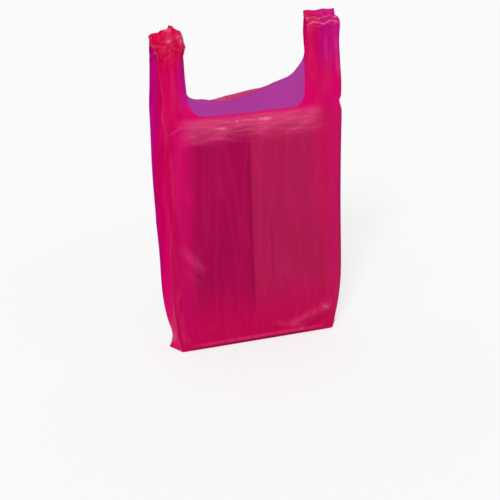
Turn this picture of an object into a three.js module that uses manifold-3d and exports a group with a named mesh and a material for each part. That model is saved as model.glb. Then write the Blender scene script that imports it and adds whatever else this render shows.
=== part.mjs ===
// Vest carrier bag of thin film, standing open.
//
// The bag is one blown tube of film with a pleat down each side. It is welded across the
// bottom and the top, and one U-shaped die cut through all layers leaves the two handles.
// It stands squared out: a flat six-sided base, upright panels, a crease where the rim
// leans in, and handles that close to a four-layer weld at their tops.
//
// Units are millimetres and +Z is up. The front panel faces -Y and the widest extent of the
// bag across its panels runs along X. The origin is the middle of the bounding box on the floor.

import * as THREE from 'three';
import { mergeVertices } from 'three/addons/utils/BufferGeometryUtils.js';
import Module from 'manifold-3d';

// Film
const wall = 0.7;              // nominal thickness of one layer
const layerGap = 0.2;          // air left between two layers that lie on each other

// Flat pattern
const panelWidth = 280;        // front or back panel, from side crease to side crease
const gussetLeaf = 76;         // one of the two leaves of a side pleat
const handleLength = 130;      // cut mouth edge to handle top, along the film
const handleWidth = 50;        // one handle at its welded top
const handleFlare = 4;         // how much wider a handle is at its root
const cutRadius = 18;          // rounding of the die cut's two lower corners
const weldHeight = 9;          // sealed strip across each handle top
const seamWidth = 3;           // bead of the bottom weld, which runs from ear to ear
const seamHeight = 0.5;        // how far that bead stands up inside the base

// Standing shape
const baseWidth = 247;         // straight front edge of the base
const baseDepth = 52;          // front edge to back edge of the base
const earReach = 14;           // how far each end of the bottom weld stands out of the base
const earHeight = 12;          // height of the doubled film at each end of the bottom weld
const bodyHeight = 357;        // floor to the crease where the rim begins
const rimHeight = 18;          // that crease to the cut mouth edge
const rimLean = 2;             // how far the front rim leans in
const mouthDepth = 91;         // front rim to back rim
const sideFlareHeight = 120;   // height over which the sides spread to the full panel width
const shoulderSetback = 12;    // how far a side crease lies behind the face of its panel
const setbackRise = 60;        // height over which a side crease falls back to that distance
const shoulderHeight = 90;     // height below the mouth over which it comes forward again
const panelCrown = 3;          // outward swell of the front panel at half height
const bellyFold = 38;          // depth of the side pleat where the bag is filled out
const pleatFreeHeight = 125;   // height below the mouth over which the pleat falls in freely
const packingCrease = 1.4;     // ridge down the middle where the flat bag was folded in two
const ridgeReach = 28;         // how far that ridge spreads to either side
const slackCrown = 0.4;        // slight swell that every free panel keeps, also at floor and weld
const leafBow = 0.05;          // the same for a leaf of the side pleat

// Curves of the standing shape, as powers: 1 is straight and more is rounder
const flarePower = 2.5;        // how soon the sides reach their full width
const backLeanPower = 1.4;     // how late the back panel leaves the upright
const shoulderPower = 6;       // how tightly a panel turns back towards its side creases
const ridgeFadePower = 0.5;    // how soon the middle ridge reaches its full height

// Mesh fineness
const bodyLevels = 15;
const handleLevels = 9;
const levelBunching = 1.7;     // power that draws the body's levels together near the floor
const levelSpacing = 0.5;      // least height between two levels
const panelSteps = 16;
const leafSteps = 4;
const cutSteps = 10;
const mergeDistance = 1e-4;    // points nearer than this are one point

// Heights and depths that follow from the sizes above
const mouthHeight = bodyHeight + rimHeight;
const frontMouthY = -baseDepth / 2 + rimLean;
const backMouthY = frontMouthY + mouthDepth;
const weldY = (frontMouthY + backMouthY) / 2;
const handleRise = Math.sqrt(handleLength ** 2 - (mouthDepth / 2) ** 2);
const topHeight = mouthHeight + handleRise;
const weldBottom = topHeight - weldHeight;
const creaseThickness = 2 * wall + layerGap;
const closedDepth = 2 * creaseThickness + 2 * layerGap;

const clamp01 = (t) => Math.min(Math.max(t, 0), 1);
const mix = (a, b, t) => a + (b - a) * t;
const easeOut = (t) => 1 - (1 - clamp01(t)) ** flarePower;
const easeInOut = (t) => clamp01(t) ** 2 * (3 - 2 * clamp01(t));

// Fraction of the way up the handle, 0 at the cut mouth edge and 1 where the weld starts.
const handleFraction = (z) => clamp01((z - mouthHeight) / (weldBottom - mouthHeight));

function sideCreaseX(z) {
  return mix(baseWidth / 2, panelWidth / 2, easeOut(z / sideFlareHeight));
}

function frontFaceY(z) {
  const swell = panelCrown * Math.sin(Math.PI * clamp01(z / bodyHeight));
  const rim = rimLean * clamp01((z - bodyHeight) / rimHeight);
  const body = -baseDepth / 2 - swell + rim;
  return mix(body, weldY - closedDepth / 2, handleFraction(z));
}

function backFaceY(z) {
  const body = mix(baseDepth / 2, backMouthY, clamp01(z / mouthHeight) ** backLeanPower);
  return mix(body, weldY + closedDepth / 2, handleFraction(z));
}

// The side crease lies behind the face of its panel in the body and in line with it
// at the floor and in the handles.
function creaseSetback(z) {
  const rise = easeOut(z / setbackRise);
  const fall = easeInOut((mouthHeight - z) / shoulderHeight);
  return shoulderSetback * rise * fall;
}

// Depth of the side pleat. At the floor it is turned out as the ear of the bottom weld, in
// the body it is pressed open, and above that its two leaves keep their flat width.
function pleatDepth(z) {
  const halfOpening = (backFaceY(z) - frontFaceY(z)) / 2;
  const free = Math.sqrt(gussetLeaf ** 2 - halfOpening ** 2);
  const filled = mix(-earReach, bellyFold, easeOut(z / sideFlareHeight));
  return mix(free, filled, easeInOut((mouthHeight - z) / pleatFreeHeight));
}

// The corners of one level cut through the bag, anticlockwise from the front left crease.
// Each side crease and each pleat fold has two corners, because there the film lies double.
function sectionCorners(z) {
  const x = sideCreaseX(z);
  const front = frontFaceY(z) + creaseSetback(z);
  const back = backFaceY(z) - creaseSetback(z);
  const foldX = x - pleatDepth(z);
  const foldY = (front + back) / 2;
  const foldHalf = mix(creaseThickness, layerGap, clamp01(z / earHeight)) / 2;
  return [
    [-x, front], [x, front],
    [x, front + creaseThickness], [foldX, foldY - foldHalf],
    [foldX, foldY + foldHalf], [x, back - creaseThickness],
    [x, back], [-x, back],
    [-x, back - creaseThickness], [-foldX, foldY + foldHalf],
    [-foldX, foldY - foldHalf], [-x, front + creaseThickness],
  ].map(([px, py]) => new THREE.Vector2(px, py));
}

// The same corners moved inward by one wall, each where its two moved edges meet.
function insetCorners(corners, inset) {
  return corners.map((corner, i) => {
    const before = corners[(i + corners.length - 1) % corners.length];
    const after = corners[(i + 1) % corners.length];
    const a = corner.clone().sub(before).normalize();
    const b = after.clone().sub(corner).normalize();
    const normalA = new THREE.Vector2(-a.y, a.x);
    const normalB = new THREE.Vector2(-b.y, b.x);
    const bisector = normalA.clone().add(normalB).normalize();
    return corner.clone().addScaledVector(bisector, inset / bisector.dot(normalA));
  });
}

// How far a panel stands in front of the line between its side creases.
function panelRelief(z, x) {
  const share = Math.abs(x) / sideCreaseX(z);
  const shoulder = creaseSetback(z) * (1 - share ** shoulderPower);
  const ridgeFade = Math.sin(Math.PI * clamp01(z / mouthHeight)) ** ridgeFadePower;
  const ridge = packingCrease * ridgeFade * clamp01(1 - Math.abs(x) / ridgeReach);
  return shoulder + ridge + slackCrown * (1 - share ** 2);
}

// Points across a panel, closest together at its side creases.
function panelPoints(from, to) {
  return Array.from({ length: panelSteps + 1 }, (_, i) => {
    const t = (1 + Math.sin(Math.PI * (i / panelSteps - 0.5))) / 2;
    return from.clone().lerp(to, t);
  });
}

// The two leaves of one side pleat, without the two panel corners beside it.
function pleatPoints([start, foldIn, foldOut, end]) {
  const leaf = (from, to) => Array.from({ length: leafSteps + 1 }, (_, i) => {
    const t = i / leafSteps;
    const across = new THREE.Vector2(to.y - from.y, from.x - to.x).normalize();
    return from.clone().lerp(to, t).addScaledVector(across, leafBow * Math.sin(Math.PI * t));
  });
  return [...leaf(start, foldIn), ...leaf(foldOut, end)];
}

// One closed loop of points around the bag at height z.
function sectionLoop(z, inset) {
  const outer = sectionCorners(z);
  const corners = inset > 0 ? insetCorners(outer, inset) : outer;
  const relief = (point, outward) => {
    point.y += outward * panelRelief(z, point.x);
    return point;
  };
  const [frontLeft, frontRight, ...rightPleat] = corners.slice(0, 6);
  const [backRight, backLeft, ...leftPleat] = corners.slice(6);
  return [
    ...panelPoints(frontLeft, frontRight).map((point) => relief(point, -1)),
    ...pleatPoints(rightPleat),
    ...panelPoints(backRight, backLeft).map((point) => relief(point, 1)),
    ...pleatPoints(leftPleat),
  ];
}

// A closed solid through loops of equal point count, lowest first.
function loft(levels) {
  const count = levels[0].loop.length;
  const positions = [];
  const indices = [];
  levels.forEach(({ z, loop }) => loop.forEach((point) => positions.push(point.x, point.y, z)));
  for (let k = 0; k + 1 < levels.length; k += 1) {
    for (let i = 0; i < count; i += 1) {
      const a = k * count + i;
      const b = k * count + ((i + 1) % count);
      indices.push(a, b, b + count, a, b + count, a + count);
    }
  }
  const top = (levels.length - 1) * count;
  const capBottom = THREE.ShapeUtils.triangulateShape(levels[0].loop, []);
  const capTop = THREE.ShapeUtils.triangulateShape(levels[levels.length - 1].loop, []);
  capBottom.forEach(([a, b, c]) => indices.push(a, c, b));
  capTop.forEach(([a, b, c]) => indices.push(top + a, top + b, top + c));
  const geometry = new THREE.BufferGeometry();
  geometry.setAttribute('position', new THREE.Float32BufferAttribute(positions, 3));
  geometry.setIndex(indices);
  return geometry;
}

// Heights of the levels, closest together where the base turns into the sides.
function levelHeights(bottom, top) {
  const heights = [];
  for (let i = 0; i <= bodyLevels; i += 1) {
    heights.push(bodyHeight * (i / bodyLevels) ** levelBunching);
  }
  heights.push(bodyHeight + rimHeight / 2);
  for (let i = 0; i <= handleLevels; i += 1) {
    heights.push(mix(mouthHeight, weldBottom, i / handleLevels));
  }
  const inside = heights.filter((z) => z > bottom + levelSpacing && z < top - levelSpacing);
  return [bottom, ...inside, top];
}

const filmLoft = (bottom, top, inset) =>
  loft(levelHeights(bottom, top).map((z) => ({ z, loop: sectionLoop(z, inset) })));

// The die cut: a U seen from the front, driven through all layers from front to back.
function dieCut() {
  const topHalf = panelWidth / 2 - handleWidth;
  const rootHalf = topHalf - handleFlare;
  const above = topHeight + weldHeight;
  const shape = new THREE.Shape();
  shape.moveTo(-rootHalf + cutRadius, mouthHeight);
  shape.lineTo(rootHalf - cutRadius, mouthHeight);
  shape.quadraticCurveTo(rootHalf, mouthHeight, rootHalf, mouthHeight + cutRadius);
  shape.lineTo(topHalf, topHeight);
  shape.lineTo(topHalf, above);
  shape.lineTo(-topHalf, above);
  shape.lineTo(-topHalf, topHeight);
  shape.lineTo(-rootHalf, mouthHeight + cutRadius);
  shape.quadraticCurveTo(-rootHalf, mouthHeight, -rootHalf + cutRadius, mouthHeight);
  const depth = mouthDepth + 2 * handleWidth;
  const geometry = new THREE.ExtrudeGeometry(shape, { depth, bevelEnabled: false, curveSegments: cutSteps });
  geometry.rotateX(Math.PI / 2);
  geometry.translate(0, weldY + depth / 2, 0);
  return geometry;
}

// The sealed strip across the top of all four layers, later parted by the die cut.
function topWeld() {
  const overlap = wall;
  const strip = new THREE.BoxGeometry(panelWidth, closedDepth, weldHeight + overlap);
  strip.translate(0, weldY, weldBottom + (weldHeight - overlap) / 2);
  return strip;
}

// The bead of the bottom weld, inside the base along the line between the two ears.
function bottomWeld() {
  const length = baseWidth + 2 * (earReach - seamWidth);
  const bead = new THREE.BoxGeometry(length, seamWidth, wall + seamHeight);
  bead.translate(0, 0, (wall + seamHeight) / 2);
  return bead;
}

const manifold = await Module();
manifold.setup();

function toSolid(geometry) {
  const bare = geometry.clone();
  bare.deleteAttribute('normal');
  bare.deleteAttribute('uv');
  const merged = mergeVertices(bare, mergeDistance);
  const mesh = new manifold.Mesh({
    numProp: 3,
    vertProperties: new Float32Array(merged.attributes.position.array),
    triVerts: new Uint32Array(merged.index.array),
  });
  return new manifold.Manifold(mesh);
}

function toGeometry(solid) {
  const mesh = solid.getMesh();
  const geometry = new THREE.BufferGeometry();
  geometry.setAttribute('position', new THREE.BufferAttribute(new Float32Array(mesh.vertProperties), 3));
  geometry.setIndex(new THREE.BufferAttribute(new Uint32Array(mesh.triVerts), 1));
  const faceted = geometry.toNonIndexed();
  faceted.computeVertexNormals();
  return faceted;
}

// The outer form less the space inside it is the film. The inner form ends within the top
// weld, so the sealed strip closes the handles.
function buildBag() {
  const outer = toSolid(filmLoft(0, weldBottom, 0));
  const inner = toSolid(filmLoft(wall, weldBottom + wall / 2, wall));
  const welded = outer.subtract(inner).add(toSolid(topWeld())).add(toSolid(bottomWeld()));
  return welded.subtract(toSolid(dieCut()));
}

const film = new THREE.MeshStandardMaterial({
  color: 0xc8106e,
  roughness: 0.28,
  metalness: 0,
  transparent: true,
  opacity: 0.8,
  side: THREE.DoubleSide,
});

const bag = new THREE.Mesh(toGeometry(buildBag()), film);
bag.name = 'film_bag';

const bounds = new THREE.Box3().setFromBufferAttribute(bag.geometry.attributes.position);
bag.position.set(-(bounds.min.x + bounds.max.x) / 2, -(bounds.min.y + bounds.max.y) / 2, -bounds.min.z);

const group = new THREE.Group();
group.add(bag);

export default group;
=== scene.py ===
import math

import bpy
import numpy as np
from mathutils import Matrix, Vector
from mathutils import noise
from mathutils.bvhtree import BVHTree


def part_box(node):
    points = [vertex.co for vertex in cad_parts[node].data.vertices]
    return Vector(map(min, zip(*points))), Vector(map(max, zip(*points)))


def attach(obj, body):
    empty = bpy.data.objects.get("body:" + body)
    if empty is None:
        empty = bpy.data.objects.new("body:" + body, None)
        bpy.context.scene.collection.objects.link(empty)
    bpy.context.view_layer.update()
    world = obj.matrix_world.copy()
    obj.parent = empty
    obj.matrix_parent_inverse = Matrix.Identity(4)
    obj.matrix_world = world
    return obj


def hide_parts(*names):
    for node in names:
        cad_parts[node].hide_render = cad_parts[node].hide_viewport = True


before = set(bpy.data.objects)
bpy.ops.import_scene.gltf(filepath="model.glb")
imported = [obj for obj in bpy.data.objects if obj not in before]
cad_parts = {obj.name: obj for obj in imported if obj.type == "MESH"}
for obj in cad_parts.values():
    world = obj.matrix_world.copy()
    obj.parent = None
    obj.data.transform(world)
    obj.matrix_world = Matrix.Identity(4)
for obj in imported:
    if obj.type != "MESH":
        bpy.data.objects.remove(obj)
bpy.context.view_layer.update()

# Flat pattern of the film, in metres
PANEL_WIDTH = 0.280
GUSSET_LEAF = 0.076
HANDLE_LENGTH = 0.130
HANDLE_WIDTH = 0.050
HANDLE_FLARE = 0.004
CUT_RADIUS = 0.018
WELD_HEIGHT = 0.009

# Standing shape
BASE_WIDTH = 0.247
BASE_DEPTH = 0.052
EAR_REACH = 0.014
BODY_HEIGHT = 0.357
RIM_HEIGHT = 0.018
RIM_LEAN = 0.004
PANEL_CROWN = 0.0015
SIDE_FLARE_HEIGHT = 0.120
LAYER = 0.0010

# How this bag stands: it leans to the left, and its sides fall back beyond the filled width
LEAN_LEFT = -0.0100
LEAN_RIGHT = -0.0085
LEAN_HEIGHT = 0.300
FILLED_EDGE_LEFT_LOW = -0.1225
FILLED_EDGE_LEFT_HIGH = -0.1150
FILLED_EDGE_RIGHT_LOW = 0.118
FILLED_EDGE_RIGHT_HIGH = 0.082
FRONT_SETBACK_LEFT = 0.004
FRONT_SETBACK_RIGHT = 0.007
FRONT_SETBACK_RISE = 0.10
FRONT_DRAW_IN = 0.0050
FRONT_DRAW_IN_RISE = 0.22
BACK_SETBACK = 0.006
LEFT_BELLY_FOLD = 0.034
RIGHT_BELLY_FOLD = 0.028
LEFT_MOUTH_FOLD = 0.070
RIGHT_MOUTH_FOLD = 0.034

# Where the leaves leave the pleat and cling to their bands, from a height on and over a length
LEFT_CLING = (0.315, 0.055)
RIGHT_CLING = (0.350, 0.060)
RIGHT_CLING_INNER = 0.094

# Over which height the pleat's fold moves from its place in the body to that at the mouth
MOUTH_FOLD_START = 0.280
MOUTH_FOLD_RISE = 0.095

# The mouth, as (place across the panel, value): how far back its rim stands, how far the rims
# are pushed sideways, and how high the back rim rides
BACK_MOUTH_DEPTH = (
    (-0.140, 0.035), (-0.100, 0.037), (-0.072, 0.041), (-0.010, 0.054), (0.045, 0.062),
    (0.075, 0.055), (0.095, 0.042), (0.140, 0.038),
)
BACK_MOUTH_SWAY = (
    (-0.140, 0.000), (-0.110, 0.001), (-0.078, 0.008), (-0.020, 0.004), (0.040, -0.004),
    (0.075, -0.008), (0.140, -0.006),
)
BACK_MOUTH_LIFT = (
    (-0.140, 0.000), (-0.100, 0.002), (-0.072, 0.006), (-0.010, 0.009), (0.045, 0.013),
    (0.075, 0.017), (0.095, 0.018), (0.140, 0.004),
)
FRONT_MOUTH_SWAY = (
    (-0.140, -0.001), (-0.095, -0.0045), (-0.060, 0.000), (0.030, 0.000), (0.085, -0.0085),
    (0.140, -0.0030),
)
MOUTH_SWAY_START = 0.360

# The back rim rolls over to the front: how far, from which width of film and along which stretch,
# and how much of it the rim rises first and its edge then drops
RIM_CURL = 0.009
RIM_CURL_WIDTH = 0.014
RIM_CURL_MIDDLE = -0.004
RIM_CURL_REACH = 0.080
RIM_CURL_LIFT = 0.9
RIM_CURL_DROP = 1.9

# The right back band slants outwards, as (height along the film, sideways shift), which sets in
# across the panel from a start and over a length. Back bands bow backwards below their tops.
RIGHT_BACK_BAND_SHIFT = (
    (0.375, 0.0), (0.393, 0.006), (0.410, 0.013), (0.425, 0.014), (0.445, 0.009),
    (0.470, 0.003), (0.496, 0.0),
)
BACK_SHIFT_START = 0.03
BACK_SHIFT_LENGTH = 0.06
BACK_BAND_BOW = 0.75

# The left front band is gathered: how far its edges are moved, and the ripples across it. The
# lengths are shares of the handle's height.
LEFT_GATHER_INNER = 0.0035
LEFT_GATHER_OUTER = 0.0065
GATHER_RIPPLE = 0.0012
GATHER_FOLDS = 2.7
GATHER_ONSET = 0.25
GATHER_END = 0.80

# Handle tops: where the sealed strip of each handle is held, from its inner to its outer end
LEFT_WELD_INNER = Vector((-0.0985, 0.020, 0.4740))
LEFT_WELD_OUTER = Vector((-0.1480, 0.022, 0.4760))
LEFT_WELD_RISE = (
    (0.00, -0.003), (0.07, 0.001), (0.11, 0.010), (0.22, 0.007), (0.35, 0.018), (0.43, 0.010),
    (0.58, 0.008), (0.76, 0.005), (0.92, 0.003), (1.00, 0.000),
)
RIGHT_WELD_INNER = Vector((0.0825, 0.020, 0.4935))
RIGHT_WELD_OUTER = Vector((0.1305, 0.020, 0.4935))

# Waves of the sealed strips, as (height, radians across the band, start)
LEFT_WELD_WAVE = (0.0035, 23, 1)
RIGHT_WELD_WAVE = (0.0008, 11, 0)
RIGHT_WELD_RISE = (0.0007, 13, 0)
LEFT_WELD_TILT = 0.25
RIGHT_WELD_TILT = 0.30

# The front layers stand out under the sealed strip, and the right front band is spread. The
# starts and lengths are shares of the handle's height.
FRONT_SLUMP = 0.008
SLUMP_START = 0.66
SLUMP_ONSET = 0.28
RIGHT_BAND_SPREAD = 0.0045
SPREAD_ONSET = 0.07
STRIP_START = 0.968

MOUTH_HEIGHT = BODY_HEIGHT + RIM_HEIGHT
FILM_TOP = MOUTH_HEIGHT + HANDLE_LENGTH
WELD_START = FILM_TOP - WELD_HEIGHT
HALF = PANEL_WIDTH / 2

# The middle of the base: the CAD solid's front stands out a little beyond the base's front
SOLID_LOW = Vector(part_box("film_bag")[0])
FRONT_STANDS_OUT = 0.0047
BASE_Y = SOLID_LOW.y + BASE_DEPTH / 2 + FRONT_STANDS_OUT

# Viewpoint of the photograph, measured from the middle of the base
LENS = 93.6
SENSOR = 36.0
CAMERA_FROM_BASE = Vector((-0.5787, -1.693, 0.9969))
CAMERA_PITCH = 0.445
CAMERA_TURN = 0.326

# Studio
WORLD_LIGHT = 0.60
KEY_PLACE = (-0.9, -1.5, 1.9)
KEY_POWER = 1.35
KEY_SPREAD = 14
KEY_TARGET = (0, 0, 0.2)
LAYERS_SEEN_THROUGH = 24
FLOOR_REACH = 12.0
FLOOR_WHITE = (0.97, 0.97, 0.97, 1)
FLOOR_WHITENING = 0.65

# Film mesh: columns around the tube, and rows as (from, to, step) along the film
PANEL_COLUMNS = 70
LEAF_COLUMNS = 14
BASE_ROWS = 12
ROW_SPANS = (
    (0.000, 0.015, 0.0030),
    (0.015, 0.335, 0.0050),
    (0.335, 0.387, 0.0028),
    (0.387, 0.475, 0.0044),
    (0.475, FILM_TOP, 0.0027),
)

# Slack of the film beside its standing length, and how firmly its shape is kept in settling
PANEL_SLACK = 0.012
LEAF_SLACK = 0.08
RISE_SLACK = 0.006
SLACK_FREE = 0.05
CREASE_HOLD = 0.25
CREASE_HOLD_REACH = 0.006
FOLD_HOLD_REACH = 0.08
HANDLE_HOLD = 0.45
HANDLE_HOLD_START = 0.365
HANDLE_HOLD_RISE = 0.035
BASE_HELD = 0.001
STRIP_FREE = 0.0005
SETTLE_FRAMES = 24

# What fills the bag out while the film settles: its ends at the floor, and its distance inside
FILLING_LEFT_LOW = -0.1205
FILLING_RIGHT_LOW = 0.1120
FILLING_INSET = 0.0012

FILM_BEHAVIOUR = {
    "quality": 8,
    "mass": 0.02,
    "tension_stiffness": 25,
    "compression_stiffness": 25,
    "shear_stiffness": 12,
    "bending_stiffness": 0.01,
    "tension_damping": 10,
    "compression_damping": 10,
    "shear_damping": 10,
    "bending_damping": 0.5,
    "air_damping": 4,
}
FILM_GRAVITY = 0.3
FILLING_FRICTION = 2.0
CONTACT = 0.001

# How far a leaf is looked for beyond its panel, and from which height
TUCK_REACH = 0.020
TUCK_START = 0.02


def clamp01(t):
    return np.clip(t, 0.0, 1.0)


def mix(a, b, t):
    return a + (b - a) * t


def ease_out(t):
    return 1 - (1 - clamp01(t)) ** 2.5


def ease_in_out(t):
    t = clamp01(t)
    return t * t * (3 - 2 * t)


def rising(value, start, length):
    """0 up to the start, rising smoothly to 1 over the length."""
    return ease_in_out((value - start) / length)


def swell(t):
    """1 at t = 0, falling smoothly to 0 at t = -1 and t = 1."""
    return 1 - ease_in_out(np.abs(t))


def curve(at, knots):
    """A smooth curve through knots of (place, value), level beyond its ends."""
    xs, ys = np.array(knots).T
    slopes = np.gradient(ys, xs)
    at = np.clip(at, xs[0], xs[-1])
    i = np.clip(np.searchsorted(xs, at) - 1, 0, len(xs) - 2)
    span = xs[i + 1] - xs[i]
    t = (at - xs[i]) / span
    start = (2 * t ** 3 - 3 * t ** 2 + 1) * ys[i] + (t ** 3 - 2 * t ** 2 + t) * span * slopes[i]
    end = (3 * t ** 2 - 2 * t ** 3) * ys[i + 1] + (t ** 3 - t ** 2) * span * slopes[i + 1]
    return start + end


def set_camera():
    data = bpy.data.cameras.new("camera")
    data.lens = LENS
    data.sensor_width = SENSOR
    camera = bpy.data.objects.new("camera", data)
    bpy.context.scene.collection.objects.link(camera)
    camera.location = CAMERA_FROM_BASE + Vector((0, BASE_Y, 0))
    camera.rotation_euler = (math.pi / 2 - CAMERA_PITCH, 0, -CAMERA_TURN)
    bpy.context.scene.camera = camera


def aim(obj, target):
    obj.rotation_euler = (Vector(target) - obj.location).to_track_quat("-Z", "Y").to_euler()


def set_studio():
    scene = bpy.context.scene
    scene.view_settings.view_transform = "Standard"
    scene.cycles.transparent_max_bounces = LAYERS_SEEN_THROUGH
    scene.world = make_world()
    add_sun("key", KEY_PLACE, KEY_POWER, KEY_SPREAD)


def make_world():
    """An even white light, seen as plain white."""
    world = bpy.data.worlds.new("studio")
    world.use_nodes = True
    nodes = world.node_tree.nodes
    light = nodes["Background"]
    light.inputs["Color"].default_value = (1, 1, 1, 1)
    light.inputs["Strength"].default_value = WORLD_LIGHT
    seen = nodes.new("ShaderNodeBackground")
    seen.inputs["Color"].default_value = (1, 1, 1, 1)
    blend = nodes.new("ShaderNodeMixShader")
    links = world.node_tree.links
    links.new(seen_share(world.node_tree, 1.0), blend.inputs[0])
    links.new(light.outputs[0], blend.inputs[1])
    links.new(seen.outputs[0], blend.inputs[2])
    links.new(blend.outputs[0], nodes["World Output"].inputs["Surface"])
    return world


def seen_share(tree, share):
    """The share for rays from the camera, straight, mirrored or through glass, and 0 for light."""
    path = tree.nodes.new("ShaderNodeLightPath")
    total = path.outputs["Is Camera Ray"]
    for output in ("Is Glossy Ray", "Is Transmission Ray"):
        either = tree.nodes.new("ShaderNodeMath")
        either.operation = "MAXIMUM"
        tree.links.new(total, either.inputs[0])
        tree.links.new(path.outputs[output], either.inputs[1])
        total = either.outputs[0]
    scaled = tree.nodes.new("ShaderNodeMath")
    scaled.operation = "MULTIPLY"
    scaled.inputs[1].default_value = share
    tree.links.new(total, scaled.inputs[0])
    return scaled.outputs[0]


def add_sun(name, location, energy, spread):
    sun = bpy.data.lights.new(name, "SUN")
    sun.energy = energy
    sun.angle = math.radians(spread)
    sun_object = bpy.data.objects.new(name, sun)
    bpy.context.scene.collection.objects.link(sun_object)
    sun_object.location = location
    aim(sun_object, KEY_TARGET)


def make_floor():
    mesh = bpy.data.meshes.new("floor")
    r = FLOOR_REACH
    mesh.from_pydata([(-r, -r, 0), (r, -r, 0), (r, r, 0), (-r, r, 0)], [], [(0, 1, 2, 3)])
    floor = bpy.data.objects.new("floor", mesh)
    bpy.context.scene.collection.objects.link(floor)
    mat = bpy.data.materials.new("pale_floor")
    mat.use_nodes = True
    bsdf = mat.node_tree.nodes["Principled BSDF"]
    bsdf.inputs["Base Color"].default_value = FLOOR_WHITE
    bsdf.inputs["Roughness"].default_value = 0.9
    bsdf.inputs["Specular IOR Level"].default_value = 0.1
    lift_towards_white(mat.node_tree, bsdf)
    mesh.materials.append(mat)


def lift_towards_white(tree, bsdf):
    """The floor as it is seen is well on its way to white, and the light off it stays as it is."""
    white = tree.nodes.new("ShaderNodeEmission")
    blend = tree.nodes.new("ShaderNodeMixShader")
    tree.links.new(seen_share(tree, FLOOR_WHITENING), blend.inputs[0])
    tree.links.new(bsdf.outputs[0], blend.inputs[1])
    tree.links.new(white.outputs[0], blend.inputs[2])
    tree.links.new(blend.outputs[0], tree.nodes["Material Output"].inputs["Surface"])


# The standing bag, as places for any point of the flat pattern. flat_x runs across the panel
# from its middle, h up along the film from the floor. Lengths are taken from the middle of
# the base.

def half_width(h):
    return mix(BASE_WIDTH / 2, HALF, ease_out(h / SIDE_FLARE_HEIGHT))


def lean(flat_x, h):
    share = clamp01((flat_x / HALF + 1) / 2)
    return mix(LEAN_LEFT, LEAN_RIGHT, share) * ease_in_out(h / LEAN_HEIGHT)


def filled_edges(h):
    """Where the filled width ends on the front, left and right."""
    rise = clamp01(h / BODY_HEIGHT)
    return (mix(FILLED_EDGE_LEFT_LOW, FILLED_EDGE_LEFT_HIGH, rise),
            mix(FILLED_EDGE_RIGHT_LOW, FILLED_EDGE_RIGHT_HIGH, rise))


def handle_share(h):
    return clamp01((h - MOUTH_HEIGHT) / (WELD_START - MOUTH_HEIGHT))


def band_place(flat_x):
    """0 at the inner edge of a handle band and 1 at its outer crease."""
    return clamp01((np.abs(flat_x) - (HALF - HANDLE_WIDTH)) / HANDLE_WIDTH)


def wave(p, shape):
    height, radians, start = shape
    return height * np.sin(p * radians + start)


def before_strip(share):
    """1 on the handle, falling to 0 where its sealed strip starts."""
    return 1 - ease_in_out((share - STRIP_START) / (1 - STRIP_START))


def weld_place(flat_x, h):
    """Where the sealed strip and the film just under it are held."""
    p = band_place(flat_x)
    left = flat_x < 0
    x, y, z = [np.where(left, mix(a, b, p), mix(c, d, p)) for a, b, c, d in zip(
        LEFT_WELD_INNER, LEFT_WELD_OUTER, RIGHT_WELD_INNER, RIGHT_WELD_OUTER)]
    z = z + np.where(left, np.interp(p, *zip(*LEFT_WELD_RISE)), wave(p, RIGHT_WELD_RISE))
    y = y + np.where(left, wave(p, LEFT_WELD_WAVE), wave(p, RIGHT_WELD_WAVE))
    over = np.maximum(h - WELD_START, 0)
    tilt = np.where(left, LEFT_WELD_TILT, RIGHT_WELD_TILT)
    return x, y + over * tilt, z + over * np.sqrt(1 - tilt ** 2)


def body_front(flat_x, h):
    h = np.minimum(h, MOUTH_HEIGHT)
    width = half_width(h)
    near_mouth = ease_in_out((h - MOUTH_SWAY_START) / (MOUTH_HEIGHT - MOUTH_SWAY_START))
    sway = curve(flat_x, FRONT_MOUTH_SWAY) * near_mouth
    x = flat_x / HALF * width + lean(flat_x, h)
    left_edge, right_edge = filled_edges(h)
    far_left = lean(-HALF, h) - width
    far_right = lean(HALF, h) + width
    fall_left = clamp01((left_edge - x) / np.maximum(left_edge - far_left, 1e-3))
    fall_right = clamp01((x - right_edge) / np.maximum(far_right - right_edge, 1e-3))
    fall = FRONT_SETBACK_LEFT * fall_left ** 1.3 + FRONT_SETBACK_RIGHT * fall_right ** 1.3
    crown = PANEL_CROWN * np.sin(np.pi * clamp01(h / BODY_HEIGHT))
    rim = RIM_LEAN * clamp01((h - BODY_HEIGHT) / RIM_HEIGHT)
    y = -BASE_DEPTH / 2 - crown + rim + fall * ease_out(h / FRONT_SETBACK_RISE)
    x = x + FRONT_DRAW_IN * fall_left * ease_in_out(h / FRONT_DRAW_IN_RISE)
    return x + sway, y, h + 0 * x


def body_back(flat_x, h):
    h = np.minimum(h, MOUTH_HEIGHT)
    rise = clamp01(h / MOUTH_HEIGHT)
    sway = curve(flat_x, BACK_MOUTH_SWAY) * rise ** 3
    x = flat_x / HALF * half_width(h) + lean(flat_x, h) + sway
    setback = BACK_SETBACK * np.abs(flat_x / HALF) ** 8 * np.sin(np.pi * rise)
    y = mix(BASE_DEPTH / 2, curve(flat_x, BACK_MOUTH_DEPTH), rise ** 1.4) - setback
    z = h + curve(flat_x, BACK_MOUTH_LIFT) * rise ** 3
    rolls = swell((flat_x - RIM_CURL_MIDDLE) / RIM_CURL_REACH)
    over = clamp01((h - MOUTH_HEIGHT + RIM_CURL_WIDTH) / RIM_CURL_WIDTH) ** 2
    z = z + rolls * RIM_CURL * (RIM_CURL_LIFT * rise ** 3 - RIM_CURL_DROP * over)
    return x, y - RIM_CURL * rolls * over, z


def slump(share):
    """How far the front layers stand out under the sealed strip, 0 to 1."""
    return ease_in_out((share - SLUMP_START) / SLUMP_ONSET) * before_strip(share)


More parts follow.
